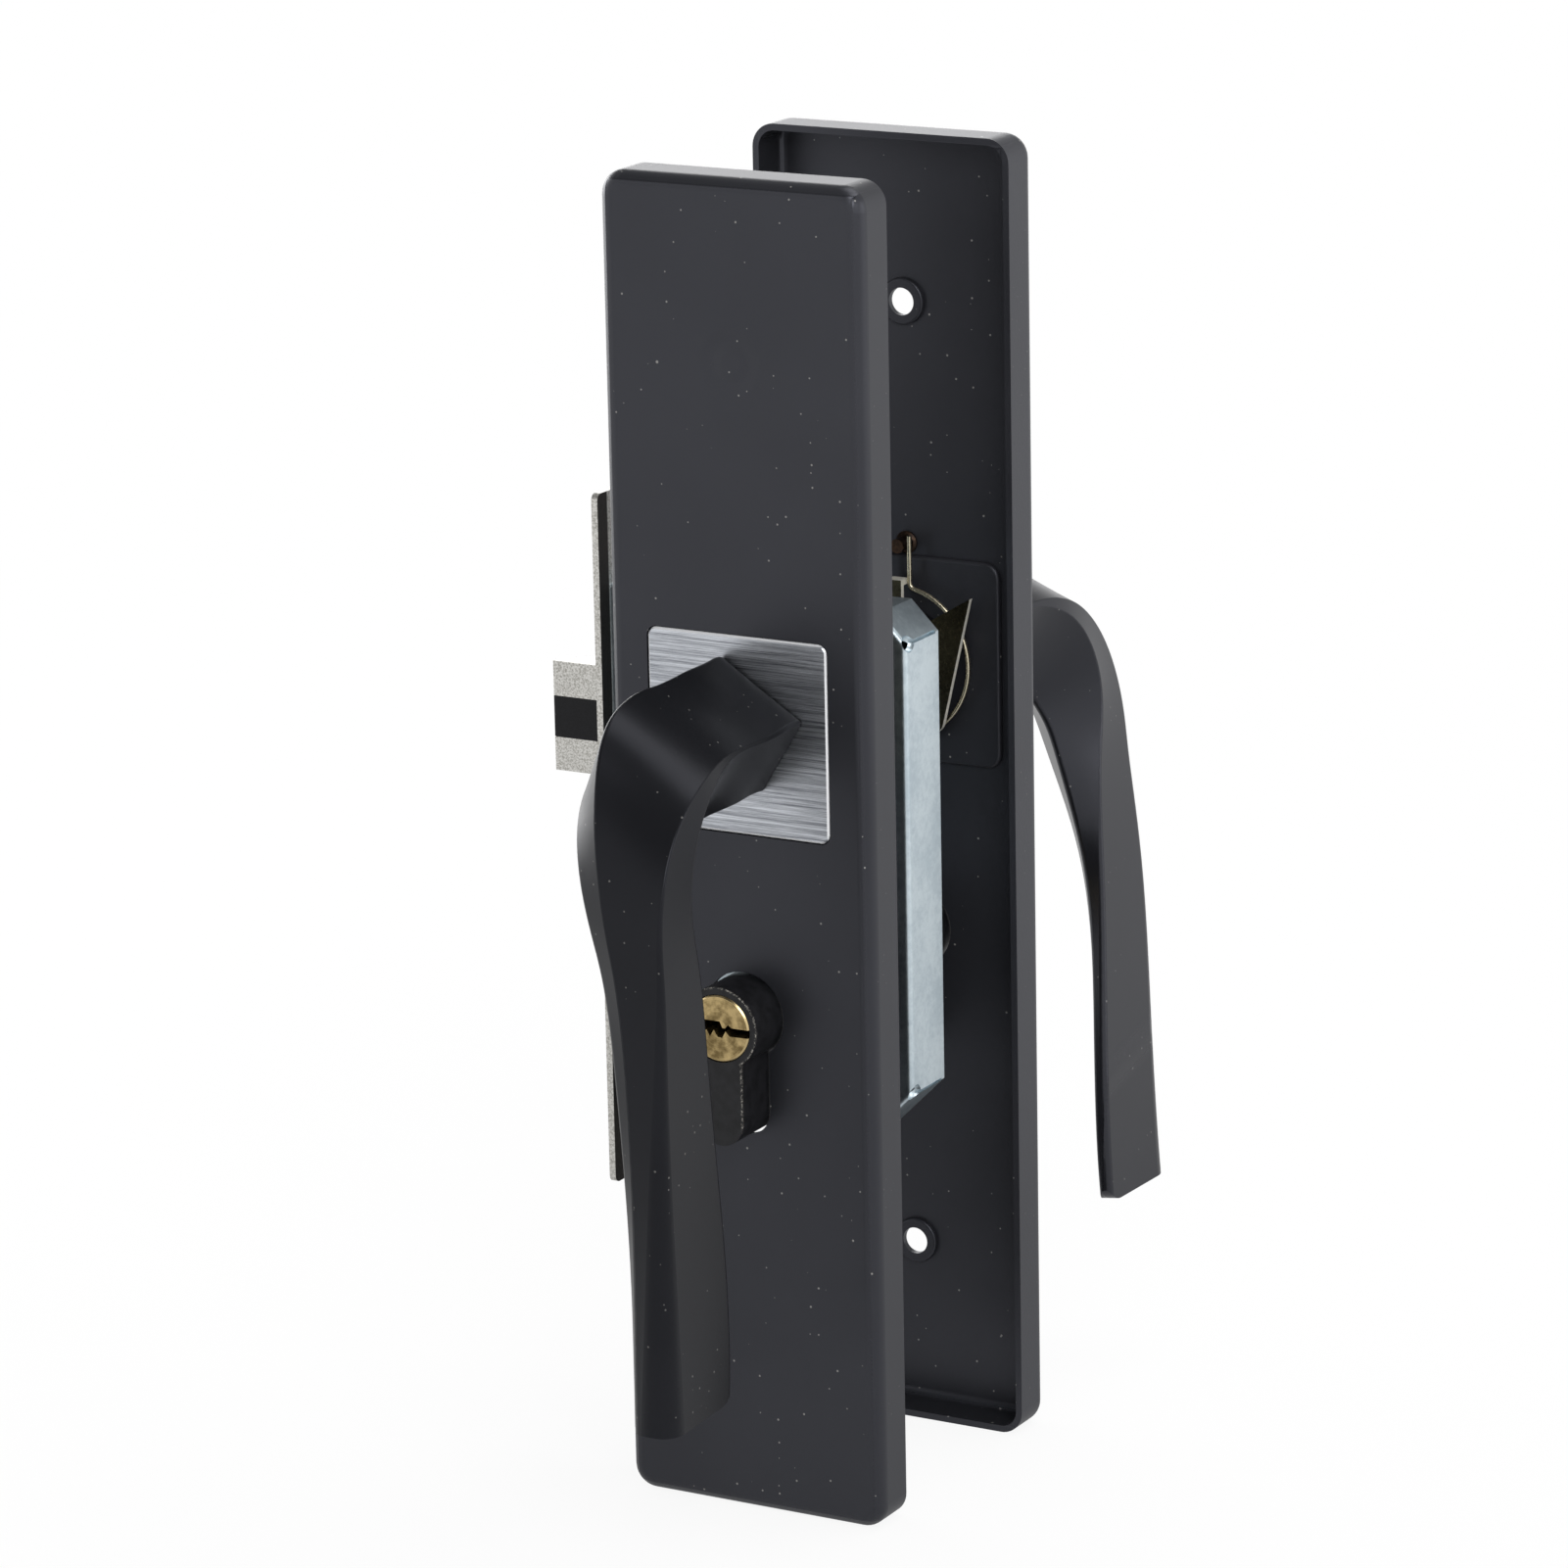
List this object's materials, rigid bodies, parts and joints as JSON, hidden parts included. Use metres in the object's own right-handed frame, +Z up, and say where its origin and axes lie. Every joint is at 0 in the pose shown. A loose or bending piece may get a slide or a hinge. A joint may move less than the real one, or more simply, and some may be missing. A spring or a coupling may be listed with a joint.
{
  "type": "interior door handle lockset",
  "caption": "Mortise door lockset: lever handles on long black plates with brushed square inlays, a lock case with latch and deadbolt, and a keyed profile cylinder.",
  "frame": {"origin": "on the lever axis in the middle of the door's thickness", "axes": "+X across the door away from the forend, +Y through the door from front to rear, +Z up"},
  "size_m": [0.0927, 0.1932, 0.275],
  "materials": {
    "black_coat": "satin black powder coat",
    "inlay_brushed": "horizontally brushed",
    "bush_nylon": "matte black nylon",
    "cam_plate_gilt": "yellow zinc plated",
    "spring_wire": "drawn spring wire",
    "dark_steel": "oiled dark steel",
    "plain_steel": "plain steel",
    "case_zinc": "pale zinc plated",
    "forend_nickel": "satin nickel",
    "cylinder_black": "black with worn edges",
    "brass": "turned brass"
  },
  "bodies": {
    "lockset": {"front_plate": "black_coat", "rear_plate": "black_coat", "front_inlay": "inlay_brushed", "rear_inlay": "inlay_brushed", "front_lever_bush": "bush_nylon", "rear_lever_bush": "bush_nylon", "front_return_spring": "spring_wire", "rear_return_spring": "spring_wire", "latch_spring": "spring_wire", "front_spring_post": "dark_steel", "rear_spring_post": "dark_steel", "deadbolt_guide_pin": "plain_steel", "case_posts": "plain_steel", "case_cover_screws": "plain_steel", "forend_rivets": "plain_steel", "cylinder_screw": "plain_steel", "front_fixing_posts": "plain_steel", "case_tray": "case_zinc", "case_cover": "case_zinc", "forend": "forend_nickel", "cylinder_body": "cylinder_black"},
    "lever_set": {"front_lever": "black_coat", "rear_lever": "black_coat", "lever_grub_screws": "dark_steel", "spindle": "plain_steel", "follower": "plain_steel", "front_cam_plate": "cam_plate_gilt", "rear_cam_plate": "cam_plate_gilt", "front_circlip": "dark_steel", "rear_circlip": "dark_steel"},
    "latch": {"latch_head": "forend_nickel", "latch_insert": "bush_nylon", "latch_tail": "plain_steel", "latch_rivet": "plain_steel"},
    "key": {"front_plug": "brass", "front_plug_clip": "dark_steel", "cylinder_cam": "brass"},
    "rear_key": {"rear_plug": "brass", "rear_plug_clip": "dark_steel"},
    "deadbolt": {"deadbolt_head": "forend_nickel", "deadbolt_tail": "plain_steel", "deadbolt_rivets": "plain_steel"}
  },
  "joints": [
    {"name": "lever_turn", "type": "hinge", "parent": "lockset", "child": "lever_set", "pos_m": [0, 0, 0], "axis": [0, 1, 0], "range_deg": [0, 46], "stiffness_Nm_per_rad": 0.5, "springref_deg": -22.92, "deforming": ["front_return_spring", "rear_return_spring"]},
    {"name": "latch_slide", "type": "slide", "parent": "lockset", "child": "latch", "axis": [1, 0, 0], "range_m": [0, 0.01188], "deforming": ["latch_spring"]},
    {"name": "key_turn", "type": "hinge", "parent": "lockset", "child": "key", "pos_m": [0, 0, -0.058], "axis": [0, -1, 0], "range_deg": [0, 90]},
    {"name": "rear_key_turn", "type": "hinge", "parent": "lockset", "child": "rear_key", "pos_m": [0, 0, -0.058], "axis": [0, -1, 0], "range_deg": [0, 90]},
    {"name": "deadbolt_slide", "type": "slide", "parent": "lockset", "child": "deadbolt", "axis": [-1, 0, 0], "range_m": [0, 0.02008]}
  ],
  "couplings": [
    {"joint": "latch_slide", "follows": "lever_turn", "m_per_rad": 0.014795},
    {"joint": "key_turn", "follows": "deadbolt_slide", "rad_per_m": 78.22}
  ]
}
